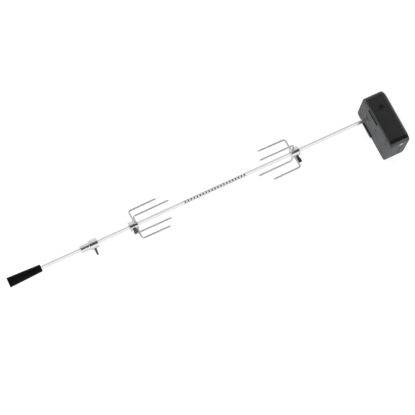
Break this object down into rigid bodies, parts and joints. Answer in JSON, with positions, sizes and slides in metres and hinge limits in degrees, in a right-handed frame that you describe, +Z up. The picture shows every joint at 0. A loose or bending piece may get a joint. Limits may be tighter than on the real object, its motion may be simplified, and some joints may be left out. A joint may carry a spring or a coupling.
{
  "type": "rotisserie spit roaster",
  "caption": "Square spit rod with a twisted middle, black handle, bushing collar and facing pronged forks, driven by a battery motor box.",
  "frame": {"origin": "middle of the whole kit's outline, on the table that it lies on", "axes": "+X along the spit from the handle to the motor, +Z up from the table, +Y towards the motor's drive end"},
  "size_m": [1.0774, 0.1572, 0.1076],
  "materials": {
    "chrome": "polished plated steel",
    "plated_wire": "dull plated drawn wire",
    "dark_steel": "blackened steel",
    "handle_plastic": "smooth black moulded grip",
    "drive_face_plastic": "grey fine-textured moulded plastic",
    "dark_plastic": "dark satin moulded plastic",
    "seal_rubber": "black rubber",
    "black_steel": "black painted steel",
    "zinc_steel": "zinc plated steel",
    "bronze": "sintered bronze",
    "brass": "turned brass",
    "gear_plastic": "natural acetal",
    "motor_can": "drawn steel can",
    "cradle_plastic": "black moulded plastic",
    "cell_jacket": "plain printed jacket",
    "contact_metal": "nickel plated spring steel",
    "switch_plastic": "black switch plastic",
    "lead_red": "red lead insulation",
    "lead_black": "black lead insulation"
  },
  "bodies": {
    "motor_unit": {"front_housing": "drive_face_plastic", "rear_housing": "dark_plastic", "cap_seal": "seal_rubber", "bracket_rails": "black_steel", "case_screws": "black_steel", "front_bush": "dark_steel", "rear_bush": "bronze", "gear_front_plate": "zinc_steel", "gear_rear_plate": "zinc_steel", "gear_posts": "zinc_steel", "post_screws": "zinc_steel", "gear_axles": "zinc_steel", "geared_motor": "motor_can", "motor_screws": "zinc_steel", "battery_cradle": "cradle_plastic", "lower_cell": "cell_jacket", "upper_cell": "cell_jacket", "cell_terminals": "contact_metal", "switch_body": "switch_plastic", "lead_cell_to_switch": "lead_red", "lead_cell_to_motor": "lead_black", "lead_switch_to_motor": "lead_red"},
    "spindle": {"drive_spindle": "dark_steel", "output_gear": "gear_plastic", "spindle_circlip": "black_steel"},
    "first_gear": {"first_compound_gear": "gear_plastic"},
    "second_gear": {"second_compound_gear": "gear_plastic"},
    "pinion": {"motor_pinion": "brass"},
    "spit": {"spit_rod": "chrome", "handle_grip": "handle_plastic", "handle_insert": "brass"},
    "collar": {"bushing_collar": "chrome"},
    "collar_screw": {"collar_thumb_screw": "dark_steel"},
    "left_fork": {"left_fork_hub": "chrome", "left_fork_long_prongs": "plated_wire", "left_fork_short_prongs": "plated_wire"},
    "left_fork_screw": {"left_fork_thumb_screw": "dark_steel"},
    "right_fork": {"right_fork_hub": "chrome", "right_fork_long_prongs": "plated_wire", "right_fork_short_prongs": "plated_wire"},
    "right_fork_screw": {"right_fork_thumb_screw": "dark_steel"},
    "rocker": {"switch_rocker": "switch_plastic"},
    "battery_door": {"battery_cap": "drive_face_plastic", "cap_contact": "contact_metal"},
    "door_screw": {"cap_screw": "zinc_steel"}
  },
  "joints": [
    {"name": "spit_turn", "type": "hinge", "parent": "motor_unit", "child": "spindle", "pos_m": [0.47625, 0.0315, 0.04739], "axis": [1, 0, 0], "continuous": true},
    {"name": "first_gear_turn", "type": "hinge", "parent": "motor_unit", "child": "first_gear", "pos_m": [0.49325, 0.03749, 0.07679], "axis": [1, 0, 0], "continuous": true},
    {"name": "second_gear_turn", "type": "hinge", "parent": "motor_unit", "child": "second_gear", "pos_m": [0.50125, 0.01745, 0.08238], "axis": [1, 0, 0], "continuous": true},
    {"name": "pinion_turn", "type": "hinge", "parent": "motor_unit", "child": "pinion", "pos_m": [0.51425, -0.00118, 0.08703], "axis": [1, 0, 0], "continuous": true},
    {"name": "spit_pull_out", "type": "slide", "parent": "spindle", "child": "spit", "axis": [-1, 0, 0], "range_m": [0, 0.045]},
    {"name": "collar_slide", "type": "slide", "parent": "spit", "child": "collar", "axis": [1, 0, 0], "range_m": [-0.1, 0.035]},
    {"name": "collar_screw_turn", "type": "hinge", "parent": "collar", "child": "collar_screw", "pos_m": [-0.30725, 0.02073, 0.04012], "axis": [0, -0.829, -0.5592], "range_deg": [0, 540]},
    {"name": "left_fork_slide", "type": "slide", "parent": "spit", "child": "left_fork", "axis": [1, 0, 0], "range_m": [-0.045, 0.12]},
    {"name": "left_fork_screw_turn", "type": "hinge", "parent": "left_fork", "child": "left_fork_screw", "pos_m": [-0.19835, 0.0209, 0.05402], "axis": [0, -0.848, 0.5299], "range_deg": [0, 540]},
    {"name": "right_fork_slide", "type": "slide", "parent": "spit", "child": "right_fork", "axis": [1, 0, 0], "range_m": [-0.1, 0.15]},
    {"name": "right_fork_screw_turn", "type": "hinge", "parent": "right_fork", "child": "right_fork_screw", "pos_m": [0.26535, 0.01919, 0.04522], "axis": [0, -0.9848, -0.1736], "range_deg": [0, 540]},
    {"name": "rocker_tilt", "type": "hinge", "parent": "motor_unit", "child": "rocker", "pos_m": [0.50745, 0.0295, 0.1038], "axis": [1, 0, 0], "range_deg": [-14, 0]},
    {"name": "battery_cap_pull", "type": "slide", "parent": "motor_unit", "child": "battery_door", "axis": [0, -1, 0], "range_m": [0, 0.03]},
    {"name": "cap_screw_turn", "type": "hinge", "parent": "battery_door", "child": "door_screw", "pos_m": [0.51025, -0.0787, 0.09039], "axis": [0, -1, 0], "range_deg": [0, 90]}
  ],
  "couplings": [
    {"joint": "first_gear_turn", "follows": "spit_turn", "ratio": -4},
    {"joint": "second_gear_turn", "follows": "spit_turn", "ratio": 13.333},
    {"joint": "pinion_turn", "follows": "spit_turn", "ratio": -40}
  ]
}
